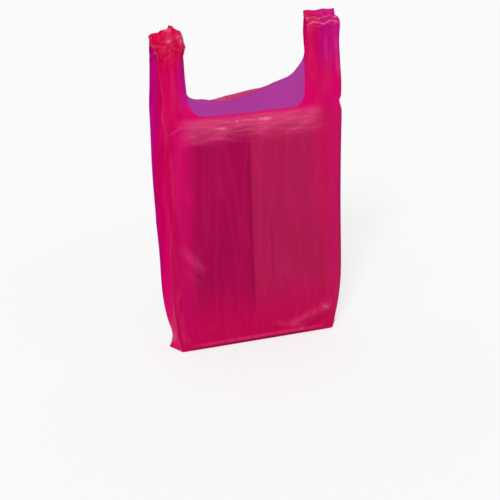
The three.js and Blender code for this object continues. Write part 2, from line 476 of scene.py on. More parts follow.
def gather(flat_x, h):
    """How strongly the left front band is gathered, 0 to 1."""
    share = handle_share(h)
    ends = 1 - ease_in_out((share - GATHER_END) / (1 - GATHER_END))
    return ease_in_out(share / GATHER_ONSET) * ends * (flat_x < 0)


def place_panel(face, flat_x, h, gap=0.0):
    """face is -1 for the front and 1 for the back, gap the distance kept inside the panel."""
    x, y, z = body_front(flat_x, h) if face < 0 else body_back(flat_x, h)
    wx, wy, wz = weld_place(flat_x, h)
    share = handle_share(h)
    share_y = share ** BACK_BAND_BOW if face > 0 else share
    x, y, z = mix(x, wx, share), mix(y, wy, share_y), mix(z, wz, share)
    right = flat_x > 0
    p = band_place(flat_x)
    if face < 0:
        spread = ease_in_out(share / SPREAD_ONSET) * before_strip(share)
        x = x + RIGHT_BAND_SPREAD * spread * p * right
        y = y - FRONT_SLUMP * slump(share)
        pull = gather(flat_x, h)
        x = x + pull * mix(-LEFT_GATHER_INNER, LEFT_GATHER_OUTER, p)
        y = y + GATHER_RIPPLE * pull * np.sin(2 * np.pi * GATHER_FOLDS * p)
    else:
        onset = clamp01((flat_x - BACK_SHIFT_START) / BACK_SHIFT_LENGTH)
        x = x + curve(h, RIGHT_BACK_BAND_SHIFT) * right * onset
    layer = 1.5 * LAYER * share
    return x, y + face * layer - face * gap, z


def place_leaf(side, face, flat_x, h):
    """A leaf of the pleat: straight to its fold in the body, clinging to its band above."""
    t = clamp01((HALF - np.abs(flat_x)) / GUSSET_LEAF)
    crease_x = side * HALF + 0 * flat_x
    fx, fy, fz = place_panel(-1, crease_x, np.minimum(h, MOUTH_HEIGHT))
    bx, by, bz = place_panel(1, crease_x, np.minimum(h, MOUTH_HEIGHT))
    belly, mouth = ((LEFT_BELLY_FOLD, LEFT_MOUTH_FOLD) if side < 0
                    else (RIGHT_BELLY_FOLD, RIGHT_MOUTH_FOLD))
    filled = mix(-EAR_REACH, belly, ease_out(h / SIDE_FLARE_HEIGHT))
    depth = mix(filled, mouth, ease_in_out((h - MOUTH_FOLD_START) / MOUTH_FOLD_RISE))
    fold_x = (fx + bx) / 2 - side * depth
    fold_y = (fy + by) / 2 + face * LAYER / 2
    fold_z = (fz + bz) / 2
    cx, cy, cz = (fx, fy, fz) if face < 0 else (bx, by, bz)
    straight = [mix(a, b, t) for a, b in
                zip((cx, cy - face * LAYER, cz), (fold_x, fold_y, fold_z))]
    start, length = LEFT_CLING if side < 0 else RIGHT_CLING
    cling_x = np.abs(flat_x)
    if side > 0:
        drawn_in = mix(HALF, RIGHT_CLING_INNER, t)
        let_out = ease_in_out((h - MOUTH_HEIGHT - 0.5 * CUT_RADIUS) / (2 * CUT_RADIUS))
        cling_x = mix(drawn_in, cling_x, let_out)
    cling = place_panel(face, side * cling_x, h, gap=LAYER)
    share = ease_in_out((h - start) / length)
    return [mix(a, b, share) for a, b in zip(straight, cling)]


# The flat pattern as a grid. Its columns run around the tube, its rows up along the film.

def row_heights():
    rows = []
    for low, high, step in ROW_SPANS:
        rows.append(np.linspace(low, high, int(round((high - low) / step)), endpoint=False))
    return np.concatenate(rows + [[FILM_TOP]])


def columns():
    """For each column: its flat_x, its side (0 on a panel) and its face."""
    across = np.linspace(-HALF, HALF, PANEL_COLUMNS + 1)
    inward = HALF - np.linspace(0, GUSSET_LEAF, LEAF_COLUMNS + 1)
    parts = [
        (across[:-1], 0, -1),
        (inward[:-1], 1, -1),
        (inward[:0:-1], 1, 1),
        (across[:0:-1], 0, 1),
        (-inward[:-1], -1, 1),
        (-inward[:0:-1], -1, -1),
    ]
    flat_x = np.concatenate([part[0] for part in parts])
    side = np.concatenate([np.full(len(part[0]), part[1]) for part in parts])
    face = np.concatenate([np.full(len(part[0]), part[2]) for part in parts])
    return flat_x, side, face


def cut_distance(x, h):
    """Signed distance to the die cut's outline in the flat pattern, negative inside the cut."""
    rise = h - MOUTH_HEIGHT
    half = HALF - HANDLE_WIDTH - HANDLE_FLARE * (1 - clamp01(rise / HANDLE_LENGTH))
    dx = np.abs(x) - (half - CUT_RADIUS)
    dz = CUT_RADIUS - rise
    corner = np.hypot(np.maximum(dx, 0), np.maximum(dz, 0)) - CUT_RADIUS
    return corner + np.minimum(np.maximum(dx, dz), 0)


def kept_cells(flat_x, h):
    distance = cut_distance(flat_x, h)
    pairs = distance + np.roll(distance, -1, axis=1)
    return (pairs[:-1] + pairs[1:]) > 0


def snap_to_cut(flat_x, h, keep):
    """Moves the points on the edge of the die cut onto its outline."""
    rows, cols = flat_x.shape
    touching = np.zeros((rows, cols), int)
    kept = np.zeros((rows, cols), int)
    for dj in (0, 1):
        for di in (0, 1):
            kept[dj:rows - 1 + dj] += np.roll(keep.astype(int), di, axis=1)
            touching[dj:rows - 1 + dj] += 1
    edge = (kept > 0) & (kept < touching)
    step = 1e-4
    for _ in range(3):
        d = cut_distance(flat_x, h)
        gx = (cut_distance(flat_x + step, h) - d) / step
        gh = (cut_distance(flat_x, h + step) - d) / step
        norm = np.maximum(gx * gx + gh * gh, 0.2)
        flat_x = np.where(edge, flat_x - d * gx / norm, flat_x)
        h = np.where(edge, h - d * gh / norm, h)
    return flat_x, h


def place_film(flat_x, h, side, face):
    points = np.zeros(flat_x.shape + (3,))
    for column_side in (-1, 0, 1):
        for column_face in (-1, 1):
            pick = (side == column_side) & (face == column_face)
            if column_side == 0:
                part = place_panel(column_face, flat_x[:, pick], h[:, pick])
            else:
                part = place_leaf(column_side, column_face, flat_x[:, pick], h[:, pick])
            points[:, pick] = np.stack(part, axis=2)
    return points


def depth_coordinate(flat_x, side, face):
    """0 on the front panel and 2 on the back, running evenly across the leaves between them."""
    t = clamp01((HALF - np.abs(flat_x)) / GUSSET_LEAF)
    on_leaf = np.where(face < 0, t, 2 - t)
    return np.where(side == 0, face + 1.0, on_leaf)


def on_front(depth):
    return depth < 0.01


def on_back(depth):
    return depth > 1.99


def strip(row_a, row_b):
    for i in range(len(row_a) - 1):
        corners = [row_a[i], row_b[i], row_b[i + 1], row_a[i + 1]]
        unique = [v for k, v in enumerate(corners) if v not in corners[:k]]
        if len(unique) > 2:
            yield unique


def base_fill(index, points, cols):
    """The base: strips between the front half and the back half of the lowest ring."""
    span = PANEL_COLUMNS + 2 * LEAF_COLUMNS + 1
    front = [index[0, (i - LEAF_COLUMNS) % cols] for i in range(span)]
    back = [index[0, (-i - LEAF_COLUMNS) % cols] for i in range(span)]
    extra, marks, faces = [], [], []
    last = front
    count = len(points)
    for k in range(1, BASE_ROWS + 1):
        share = k / BASE_ROWS
        row = []
        for a, b in zip(front, back):
            if k == BASE_ROWS or a == b:
                row.append(b)
                continue
            extra.append(points[a] * (1 - share) + points[b] * share)
            marks.append((points[a][0], -share * BASE_DEPTH, 2 * share))
            row.append(count)
            count += 1
        faces += list(strip(last, row))
        last = row
    return extra, marks, faces


def rest_shape(points, h, side):
    """The film's own lengths: each level as a round hoop, with the slack that it has."""
    ring = points[:, :, :2]
    step = np.linalg.norm(np.roll(ring, -1, axis=1) - ring, axis=2)
    slack = np.where(side[None, :] != 0, LEAF_SLACK, PANEL_SLACK) * ease_in_out(h / SLACK_FREE)
    step = step * (1 + slack)
    total = step.sum(axis=1, keepdims=True)
    angle = 2 * np.pi * (np.cumsum(step, axis=1) - step) / total
    radius = total / (2 * np.pi)
    placed = np.linalg.norm(np.diff(points, axis=0), axis=2)
    rise = np.maximum(placed, np.diff(h, axis=0)) * (1 + RISE_SLACK)
    rise = np.vstack([h[:1], h[:1] + np.cumsum(rise, axis=0)])
    return np.stack([radius * np.cos(angle), radius * np.sin(angle), rise], axis=2)


def build_film():
    line_x, side, face = columns()
    flat_x, h = np.meshgrid(line_x, row_heights())
    keep = kept_cells(flat_x, h)
    flat_x, h = snap_to_cut(flat_x, h, keep)
    rows, cols = flat_x.shape
    index = np.arange(rows * cols).reshape(rows, cols)
    grid = place_film(flat_x, h, side, face)
    grid[:, :, 1] += BASE_Y
    right = np.roll(index, -1, axis=1)
    faces = np.stack([index[:-1], right[:-1], right[1:], index[1:]], axis=2)[keep].tolist()
    points = grid.reshape(-1, 3)
    extra, marks, base_faces = base_fill(index, points, cols)
    depth = depth_coordinate(flat_x, side[None, :], face[None, :])
    place = np.stack([flat_x, h, depth], axis=2).reshape(-1, 3)
    rest = rest_shape(grid, h, side).reshape(-1, 3)
    points = np.vstack([points, extra])
    place = np.vstack([place, marks])
    rest = np.vstack([rest, extra])
    faces += base_faces
    used = np.zeros(len(points), bool)
    used[np.array([v for face in faces for v in face])] = True
    renumber = np.cumsum(used) - 1
    mesh = bpy.data.meshes.new("carrier_bag_film")
    mesh.from_pydata(points[used].tolist(), [], [[int(renumber[v]) for v in f] for f in faces])
    mesh.polygons.foreach_set("use_smooth", [True] * len(mesh.polygons))
    attribute = mesh.attributes.new("film_place", "FLOAT_VECTOR", "POINT")
    attribute.data.foreach_set("vector", place[used].astype(np.float32).ravel())
    film = bpy.data.objects.new("carrier_bag_film", mesh)
    bpy.context.scene.collection.objects.link(film)
    return film, place[used], rest[used]


def filling_block():
    """A stand-in for what fills the bag out while the film settles. It is removed again."""
    front = BASE_Y - BASE_DEPTH / 2 + FILLING_INSET
    back = BASE_Y + BASE_DEPTH / 2 - FILLING_INSET
    top = BODY_HEIGHT - FILLING_INSET
    levels = (
        (FILLING_LEFT_LOW, FILLING_RIGHT_LOW, 0.001),
        (FILLED_EDGE_LEFT_HIGH, FILLED_EDGE_RIGHT_HIGH, top),
    )
    corners = []
    for left, right, z in levels:
        corners += [(left, front, z), (right, front, z), (right, back, z), (left, back, z)]
    faces = [(0, 3, 2, 1), (4, 5, 6, 7), (0, 1, 5, 4), (1, 2, 6, 5), (2, 3, 7, 6), (3, 0, 4, 7)]
    mesh = bpy.data.meshes.new("filling_block")
    mesh.from_pydata(corners, [], faces)
    block = bpy.data.objects.new("filling_block", mesh)
    bpy.context.scene.collection.objects.link(block)
    block.modifiers.new("collision", "COLLISION")
    block.collision.thickness_outer = CONTACT
    block.collision.cloth_friction = FILLING_FRICTION
    return block


def hold_weights(place):
    """How firmly each point keeps its place while the film settles, 0 to 1."""
    x, h, depth = place.T
    edge = swell((HALF - np.abs(x)) / CREASE_HOLD_REACH) * CREASE_HOLD
    fold = swell((np.abs(depth) - 1) / FOLD_HOLD_REACH) * CREASE_HOLD
    handle = HANDLE_HOLD * ease_in_out((h - HANDLE_HOLD_START) / HANDLE_HOLD_RISE)
    weight = np.maximum(np.maximum(edge, fold), handle)
    fixed = (h < BASE_HELD) | (h > WELD_START + STRIP_FREE)
    return np.where(fixed, 1.0, weight)


def settle(film, place, rest):
    """Lets the film drop and crease between its held base and handle tops."""
    mesh = film.data
    held = film.vertex_groups.new(name="held")
    for i, weight in enumerate(hold_weights(place).tolist()):
        if weight > 0.01:
            held.add([i], weight, "REPLACE")
    film.shape_key_add(name="Basis")
    key = film.shape_key_add(name="rest")
    key.data.foreach_set("co", rest.astype(np.float32).ravel())
    key.value = 0
    block = filling_block()
    cloth = film.modifiers.new("cloth", "CLOTH")
    settings = cloth.settings
    for name, value in FILM_BEHAVIOUR.items():
        setattr(settings, name, value)
    settings.vertex_group_mass = "held"
    settings.rest_shape_key = key
    settings.effector_weights.gravity = FILM_GRAVITY
    cloth.collision_settings.use_collision = True
    cloth.collision_settings.distance_min = CONTACT
    cloth.collision_settings.collision_quality = 3
    cloth.collision_settings.use_self_collision = False
    cloth.point_cache.frame_start = 1
    cloth.point_cache.frame_end = SETTLE_FRAMES
    scene = bpy.context.scene
    for moment in range(1, SETTLE_FRAMES + 1):
        scene.frame_set(moment)
    settled = film.evaluated_get(bpy.context.evaluated_depsgraph_get())
    co = np.empty(len(mesh.vertices) * 3, np.float32)
    settled.data.vertices.foreach_get("co", co)
    film.modifiers.remove(cloth)
    film.shape_key_clear()
    mesh.vertices.foreach_set("co", co)
    mesh.update()
    bpy.data.objects.remove(block)
    scene.frame_set(1)


def refine(film):
    """One subdivision, applied, with the film's own coordinates carried along."""
    modifier = film.modifiers.new("fine", "SUBSURF")
    modifier.levels = 1
    modifier.render_levels = 1
    depsgraph = bpy.context.evaluated_depsgraph_get()
    fine = bpy.data.meshes.new_from_object(film.evaluated_get(depsgraph))
    film.modifiers.remove(modifier)
    rough = film.data
    film.data = fine
    bpy.data.meshes.remove(rough)
    fine.name = "carrier_bag_film"


# Creases: how far the film stands out from its smooth shape, and the highlights and shade painted
# on it there

CENTRE_FOLD = -0.007

# Where creases of each kind lie, as (start, length) along the film, the rim's as (middle, reach)
BASE_FREE = 0.03
RIM_CREASES = (0.355, 0.030)
RIM_CREASE_END = 0.118
RIM_CREASE_FADE = 0.02
HANDLE_CREASES = (0.372, 0.03)
LEFT_TOP_CREASES = (0.446, 0.040)
RIGHT_TOP_CREASES = (0.462, 0.030)

# Noise over the film, as (scale across, along and from front to back), (start)
CREASE_NOISE = {
    "long": ((64, 6, 9), (3.1, 0.4, 0.2)),
    "rim": ((16, 85, 9), (0.7, 5.2, 4.1)),
    "handle": ((85, 13, 9), (9.1, 3.3, 2.7)),
    "crushed": ((95, 60, 9), (2.2, 8.1, 6.4)),
    "crushed_fine": ((60, 120, 9), (7.4, 2.9, 1.1)),
}
RELIEF_NOISE = ((130, 14, 9), (1.3, 7.7, 0.9))
RELIEF_HEIGHT = 0.00035
BACK_NOISE_SHIFT = 0.3
CREST_SHARPNESS = 2.2

# Creases, as (region, noise, height, level that stays in place, painted highlight, its sharpness)
CREASES = (
    ("body", "long", 0.00028, 0.0, 0.07, 4),
    ("rim", "rim", 0.0011, 0.4, 0.60, 2),
    ("handles", "handle", 0.0011, 0.0, 0.16, 3),
    ("left_top", "crushed", 0.0022, 0.3, 0.45, 6),
    ("left_top", "crushed_fine", 0.0012, 0.3, 0.60, 6),
    ("right_top", "crushed_fine", 0.0011, 0.3, 0.40, 3),
)

# The two lines pressed into the right handle's strip, as (height along the film, wave, painted
# highlight)
STRIP_LINES = ((0.4890, 0.0013, 0.9), (0.4945, 0.0008, 0.7))
STRIP_LINE_WAVES = 260
STRIP_LINE_WIDTH = 0.0014
STRIP_LINE_HEIGHT = 0.0008

# Over which height creases set in above the floor, and how far the film stays off the floor
FLOOR_FREE = 0.004
FLOOR_GAP = 0.0002

# The least share of its painted highlight that a fold keeps where it is broken up
UNBROKEN_HIGHLIGHT = 0.45

# Single folds on the front panel, as (from x, from h, to x, to h, width, height, painted light).
# Those with painted light over 0 carry a painted highlight, the others painted shade in a valley.
FRONT_FOLDS = (
    (CENTRE_FOLD, 0.345, CENTRE_FOLD, 0.040, 0.0034, -0.0014, -0.60),
    (0.024, 0.215, 0.026, 0.100, 0.0030, -0.0008, -0.40),
    (-0.122, 0.182, -0.080, 0.130, 0.0120, 0.0020, 0.34),
    (-0.113, 0.140, -0.088, 0.112, 0.0080, 0.0013, 0.12),
    (0.050, 0.020, 0.130, 0.050, 0.0100, 0.0026, 0.50),
    (0.080, 0.008, 0.128, 0.030, 0.0060, -0.0018, -0.40),
    (0.100, 0.052, 0.126, 0.036, 0.0045, 0.0016, 0.30),
    (-0.132, 0.045, -0.118, 0.010, 0.0050, 0.0018, 0.22),
    (-0.126, 0.075, -0.124, 0.030, 0.0040, 0.0010, 0.20),
    (-0.130, 0.0090, 0.128, 0.0090, 0.0045, 0.0012, 0.65),
    (-0.130, 0.0025, 0.128, 0.0025, 0.0050, 0.0, -0.90),
    (-0.138, 0.0100, -0.124, 0.1000, 0.0060, 0.0, -0.30),
    (-0.129, 0.1150, -0.131, 0.0080, 0.0050, 0.0012, 0.35),
    (0.020, 0.030, 0.090, 0.012, 0.0090, 0.0015, 0.28),
    (-0.104, 0.348, -0.030, 0.360, 0.0045, 0.0019, 0.45),
    (-0.050, 0.350, 0.030, 0.356, 0.0035, -0.0013, -0.20),
    (0.005, 0.349, 0.088, 0.341, 0.0040, 0.0013, 0.30),
    (-0.050, 0.366, 0.040, 0.363, 0.0040, 0.0015, 0.75),
    (-0.137, 0.405, -0.134, 0.335, 0.0030, 0.0010, 0.45),
    (-0.095, 0.338, -0.040, 0.343, 0.0035, 0.0011, 0.35),
    (-0.134, 0.350, -0.104, 0.366, 0.0035, 0.0014, 0.45),
    (-0.128, 0.330, -0.126, 0.230, 0.0035, 0.0012, 0.30),
    (0.1380, 0.365, 0.1370, 0.060, 0.0030, 0.0, -0.45),
    (0.1330, 0.475, 0.1350, 0.405, 0.0035, 0.0009, 0.55),
    (0.1180, 0.470, 0.1200, 0.430, 0.0025, 0.0007, 0.40),
)


def noise_over(points, scale, offset):
    """Smooth noise from -1 to 1 at each point of the film's own coordinates."""
    at = points * np.array(scale) + np.array(offset)
    return np.array([noise.noise(Vector(p)) for p in at.tolist()])


def crest(values):
    """1 on the lines where smooth noise passes zero, falling off to 0 away from them."""
    return clamp01(1 - CREST_SHARPNESS * np.abs(values))


def line_share(x, h, line):
    """1 on a fold's line, 0 beyond its width and its ends."""
    x0, h0, x1, h1, width = line
    dx, dh = x1 - x0, h1 - h0
    length = math.hypot(dx, dh)
    along = ((x - x0) * dx + (h - h0) * dh) / length
    across = ((x - x0) * dh - (h - h0) * dx) / length
    return swell(across / width) * swell((2 * along / length - 1) ** 3)


def crease_regions(x, h):
    handles = rising(h, *HANDLE_CREASES)
    middle, reach = RIM_CREASES
    ends = clamp01((RIM_CREASE_END - np.abs(x)) / RIM_CREASE_FADE)
    return {
        "body": clamp01(h / BASE_FREE) * (1 - handles),
        "rim": swell((h - middle) / reach) * ends,
        "handles": handles,
        "left_top": rising(h, *LEFT_TOP_CREASES) * (x < 0),
        "right_top": rising(h, *RIGHT_TOP_CREASES) * (x > 0),
    }


def crease_shape(place):
    """For each point: how far it stands out of the smooth film, in metres, and how much light is
    painted on it there, up to 1 for a painted highlight and down to -1 for painted shade in a
    valley."""
    x, h, depth = place.T
    at = np.stack([x, h, BACK_NOISE_SHIFT * (depth > 1)], axis=1)
    regions = crease_regions(x, h)
    lines = {kind: crest(noise_over(at, *form)) for kind, form in CREASE_NOISE.items()}
    height = RELIEF_HEIGHT * regions["body"] * noise_over(at, *RELIEF_NOISE)
    painted_light = np.zeros(len(x))
    for region, kind, rise, level, painted_amount, sharpness in CREASES:
        height += rise * regions[region] * (lines[kind] - level)
        painted_light += painted_amount * regions[region] * lines[kind] ** sharpness
    broken = mix(UNBROKEN_HIGHLIGHT, 1, lines["crushed"])
    for *line, rise, painted_amount in FRONT_FOLDS:
        share = line_share(x, h, line) * on_front(depth)
        height += rise * share
        painted_light += painted_amount * share * (broken if painted_amount > 0 else 1)
    for level, sway, painted_amount in STRIP_LINES:
        line = swell((h - level - sway * np.sin(x * STRIP_LINE_WAVES)) / STRIP_LINE_WIDTH)
        line = line * (x > 0) * (depth < 1)
        height += STRIP_LINE_HEIGHT * line
        painted_light += painted_amount * line
    outward = np.where(on_front(depth) | on_back(depth), 1.0, -1.0)
    height = height * outward * clamp01(h / FLOOR_FREE)
    return height, np.clip(painted_light, -1, 1) * (depth < 1)


def tuck_leaves(co, place, mesh):
    """Keeps the leaves of the pleats on the inner side of their panels, a layer away."""
    x, h, depth = place.T
    corners = np.empty(len(mesh.polygons) * 4, np.int32)
    mesh.loops.foreach_get("vertex_index", corners)
    corners = corners.reshape(-1, 4)
    room = np.minimum(LAYER, 0.5 * (HALF - np.abs(x)))
    for panel, leaf_half in ((on_front(depth), depth < 1.001), (on_back(depth), depth > 0.999)):
        sheet = BVHTree.FromPolygons(co.tolist(), corners[panel[corners].all(axis=1)].tolist())
        for i in np.flatnonzero(leaf_half & ~panel & (h > TUCK_START)):
            point = Vector(co[i])
            near, normal, _, _ = sheet.find_nearest(point, TUCK_REACH)
            if near is None:
                continue
            excess = (point - near).dot(normal) + room[i]
            if excess > 0:
                co[i] -= excess * np.array(normal)


def add_attribute(mesh, name, values):
    attribute = mesh.attributes.new(name, "FLOAT", "POINT")
    attribute.data.foreach_set("value", values.astype(np.float32))


def crease(film):
    """Creases the fine film, tucks its leaves in and marks its zones."""
    mesh = film.data
    count = len(mesh.vertices)
    co = np.empty(count * 3, np.float32)
    mesh.vertices.foreach_get("co", co)
    co = co.reshape(-1, 3)
    normal = np.empty(count * 3, np.float32)
    mesh.vertex_normals.foreach_get("vector", normal)
    normal = normal.reshape(-1, 3)
    place = np.empty(count * 3, np.float32)
    mesh.attributes["film_place"].data.foreach_get("vector", place)
    place = place.reshape(-1, 3).astype(float)
    height, painted_light = crease_shape(place)
    co = co + normal * height[:, None]
    tuck_leaves(co, place, mesh)
    co[:, 2] = np.maximum(co[:, 2], FLOOR_GAP)
    mesh.vertices.foreach_set("co", co.astype(np.float32).ravel())
    mesh.update()
    # Painted highlight on the crease crests, painted shade in their valleys
    add_attribute(mesh, "painted_crease_highlight", clamp01(painted_light))
    add_attribute(mesh, "painted_crease_shade", clamp01(-painted_light))
    mark_zones(mesh, place)


# Zones of the film, as (start, length) along the film or across a band unless they say more
FILLED_FADE_LEFT = (-0.006, 0.030)
FILLED_FADE_RIGHT = (-0.004, 0.010)
FILLED_TOP = 0.372
FILLED_TOP_FADE = 0.012
LOW_FADE = 0.25
LOW_FADE_TOP = 0.10
LOW_FADE_LENGTH = 0.08
BESIDE_LOW = 0.75
BESIDE_DROP_LEFT = 0.50
BESIDE_DROP_RIGHT = 0.30
BESIDE_HEIGHT = 0.33
HANDLE_STRIPS = (0.385, 0.02)
INNER_STRIP_WIDTH = 0.36
RIGHT_STRIP_ACROSS = (0.30, 0.16)
RIGHT_STRIP_ALONG = (0.405, 0.05)
RIGHT_STRIP_SHARE = 0.65
BACK_STRIP_WIDTH = 0.34
BACK_STRIP_ALONG = (0.02, 0.15)
BACK_STRIP_SHARE_RIGHT = 0.35
# The front rim band, where a painted pink highlight lies
RIM_BAND = (0.332, 0.028)
RIM_BAND_TOP = 0.373
RIM_BAND_EDGE = 0.004
RIM_BAND_END = 0.112
RIM_BAND_FADE = 0.02
# Where the painted highlight on the rolled back rim starts
ROLLED_RIM = (0.3625, 0.003)
CRUSHED_TOP = (0.440, 0.035)


def filled_zone(x, h):
    """Where the bag is filled behind the film, and in part beside it."""
    world_x = x / HALF * half_width(h) + lean(x, h)
    left_edge, right_edge = filled_edges(h)
    inside = rising(world_x - left_edge, *FILLED_FADE_LEFT)
    inside = inside * rising(right_edge - world_x, *FILLED_FADE_RIGHT)
    inside = inside * (1 - LOW_FADE * clamp01((LOW_FADE_TOP - h) / LOW_FADE_LENGTH))
    drop = np.where(x < 0, BESIDE_DROP_LEFT, BESIDE_DROP_RIGHT)
    beside = BESIDE_LOW - drop * clamp01(h / BESIDE_HEIGHT)
    return np.maximum(inside, beside) * clamp01((FILLED_TOP - h) / FILLED_TOP_FADE)


def purple_strips(x, h, depth):
    """Bands of thinner, purple film along the handles' edges and the back creases."""
    p = band_place(x)
    left = swell(p / INNER_STRIP_WIDTH) * rising(h, *HANDLE_STRIPS) * (x < 0)
    right = rising(p, *RIGHT_STRIP_ACROSS) * rising(h, *RIGHT_STRIP_ALONG) * (x > 0)
    front = (left + RIGHT_STRIP_SHARE * right) * (depth < 0.5)
    back = swell((1 - p) / BACK_STRIP_WIDTH) * rising(h, *BACK_STRIP_ALONG) * (depth > 1.5)
    return clamp01(front + back * np.where(x > 0, BACK_STRIP_SHARE_RIGHT, 1.0))


# Where the painted highlight of the front rim band lies
def rim_highlight_band(x, h, depth):
    band = rising(h, *RIM_BAND) * clamp01((RIM_BAND_TOP - h) / RIM_BAND_EDGE)
    return band * clamp01((RIM_BAND_END - np.abs(x)) / RIM_BAND_FADE) * on_front(depth)


def mark_zones(mesh, place):
    """Masks over the film for its material."""
    x, h, depth = place.T
    panel = on_front(depth) | on_back(depth)
    rolls = swell((x - RIM_CURL_MIDDLE) / RIM_CURL_REACH) * on_back(depth)
    add_attribute(mesh, "body_zone", filled_zone(x, h) * panel)
    add_attribute(mesh, "strip_zone", purple_strips(x, h, depth))
    # Painted highlights on the front rim band and on the rolled back rim
    add_attribute(mesh, "rim_highlight_zone", rim_highlight_band(x, h, depth))
    add_attribute(mesh, "rolled_rim_highlight", rising(h, *ROLLED_RIM) * rolls)
    add_attribute(mesh, "seal_zone", rising(h, WELD_START - 0.001, 0.002))
    add_attribute(mesh, "crushed_zone", rising(h, *CRUSHED_TOP) * (x < 0) * (depth < 0.5))


# The film's material

class Tree:
    """Places and links the nodes of one material."""

    def __init__(self, name):
        self.material = bpy.data.materials.new(name)
        self.material.use_nodes = True
        self.nodes = self.material.node_tree.nodes
        self.links = self.material.node_tree.links
        self.nodes.clear()

    def add(self, kind, **settings):
        node = self.nodes.new(kind)
        for key, value in settings.items():
            setattr(node, key, value)
        return node

    def feed(self, socket, value):
        if isinstance(value, bpy.types.NodeSocket):
            self.links.new(value, socket)
        else:
            socket.default_value = value

    def attribute(self, name, output="Fac"):
        return self.add("ShaderNodeAttribute", attribute_name=name).outputs[output]

    def maths(self, operation, a, b=0.0):
        node = self.add("ShaderNodeMath", operation=operation)
        self.feed(node.inputs[0], a)
        self.feed(node.inputs[1], b)
        return node.outputs[0]

    def blend(self, share, a, b):
        node = self.add("ShaderNodeMix", data_type="RGBA")
        self.feed(node.inputs["Factor"], share)
        self.feed(node.inputs[6], a)
        self.feed(node.inputs[7], b)
        return node.outputs[2]

    def number(self, share, a, b):
        node = self.add("ShaderNodeMix", data_type="FLOAT")
        self.feed(node.inputs[0], share)
        self.feed(node.inputs[2], a)
        self.feed(node.inputs[3], b)
        return node.outputs[0]

    def noise(self, place, stretch, scale, detail=3.0, roughness=0.5):
        mapping = self.add("ShaderNodeMapping")
        self.feed(mapping.inputs["Vector"], place)
        mapping.inputs["Scale"].default_value = stretch
        node = self.add("ShaderNodeTexNoise")
        self.feed(node.inputs["Vector"], mapping.outputs[0])
        node.inputs["Scale"].default_value = scale
        node.inputs["Detail"].default_value = detail
        node.inputs["Roughness"].default_value = roughness
        return node.outputs["Fac"]

    def ramp(self, value, low, high):
        node = self.add("ShaderNodeMapRange")
        self.feed(node.inputs["Value"], value)
        node.inputs["From Min"].default_value = low
        node.inputs["From Max"].default_value = high
        return node.outputs["Result"]

    def mix_shader(self, share, a, b):
        node = self.add("ShaderNodeMixShader")
        self.feed(node.inputs[0], share)
        self.links.new(a, node.inputs[1])
        self.links.new(b, node.inputs[2])
        return node.outputs[0]


# Film colours, linear: what it sends back, and what it lets through
CRIMSON = (0.98, 0.001, 0.150, 1)
BODY_RED = (0.49, 0.002, 0.082, 1)
# A lighter copy of the body colour for the right half of the front: painted light, for the shading
# either side of the centre fold
BODY_PAINTED_LIGHTER = (0.58, 0.018, 0.098, 1)
BODY_LOW = (0.68, 0.002, 0.066, 1)
STRIP_PURPLE = (0.92, 0.006, 0.47, 1)
# The inside of the bag: the purple of a single layer, painted darker as shade
INNER_SHADED_PURPLE = (0.36, 0.06, 0.30, 1)
INNER_SHADED_MAUVE = (0.44, 0.055, 0.28, 1)
# Painted highlight on the rim band and the rolled rim
RIM_PAINTED_HIGHLIGHT = (0.92, 0.13, 0.28, 1)
# Painted highlight on crease crests, painted glints on them, and painted shade in the valleys
PAINTED_HIGHLIGHT_PINK = (1.0, 0.09, 0.27, 1)
PAINTED_GLINT_PINK = (1.0, 0.36, 0.48, 1)
PAINTED_SHADE_RED = (0.20, 0.001, 0.045, 1)
CRUSHED_RED = (1.0, 0.001, 0.075, 1)
CLEAR_FILM = (0.55, 0.03, 0.45, 1)
CLEAR_BODY = (0.50, 0.02, 0.20, 1)
CLEAR_STRIP = (0.55, 0.03, 0.60, 1)
CLEAR_INNER = (0.45, 0.05, 0.36, 1)
LIGHTER_FILM = (0.95, 0.006, 0.19, 1)
LIGHTER_SHARE = 0.22

# The heights along the film between which its colour turns to that of its low part
LOW_COLOUR_START = 0.120
LOW_COLOUR_END = 0.020

# The share of light that each part of the film stops
OUTSIDE_COVER = 0.73
STRIP_COVER = 0.56
INSIDE_COVER = 0.22
RIM_COVER = 0.78
CREASE_COVER = 0.85
SEAL_COVER = 0.80

# Finish
GLOW_SHARE = 0.25
SMOOTHEST = 0.12
ROUGHEST = 0.30
REFLECTION = 0.12
REFLECTION_TINT = (1.0, 0.30, 0.60, 1)
WRINKLE_STRENGTH = 0.30
WRINKLE_DEPTH = 0.0008
WRINKLE_GRAIN = 0.55

# Patterns over the film, as (stretch across, along and from front to back), scale
STREAKS = ((1.0, 0.10, 0.02), 160.0)
CLOUDS = ((1.0, 0.7, 0.02), 14.0)
RIM_LINES = ((0.10, 1.0, 0.02), 330.0)
WRINKLES = ((1.0, 0.22, 0.02), 420.0)

# The part of a pattern or a mask over which its effect sets in
RIM_LINE_RANGE = (0.35, 0.68)
RIM_LINE_SHARES = (0.25, 0.85)
MAUVE_RANGE = (0.38, 0.62)
GLINT_RANGE = (0.42, 0.62)
PALE_GLINT_RANGE = (0.55, 1.0)
LIGHTER_RANGE = (0.35, 0.65)


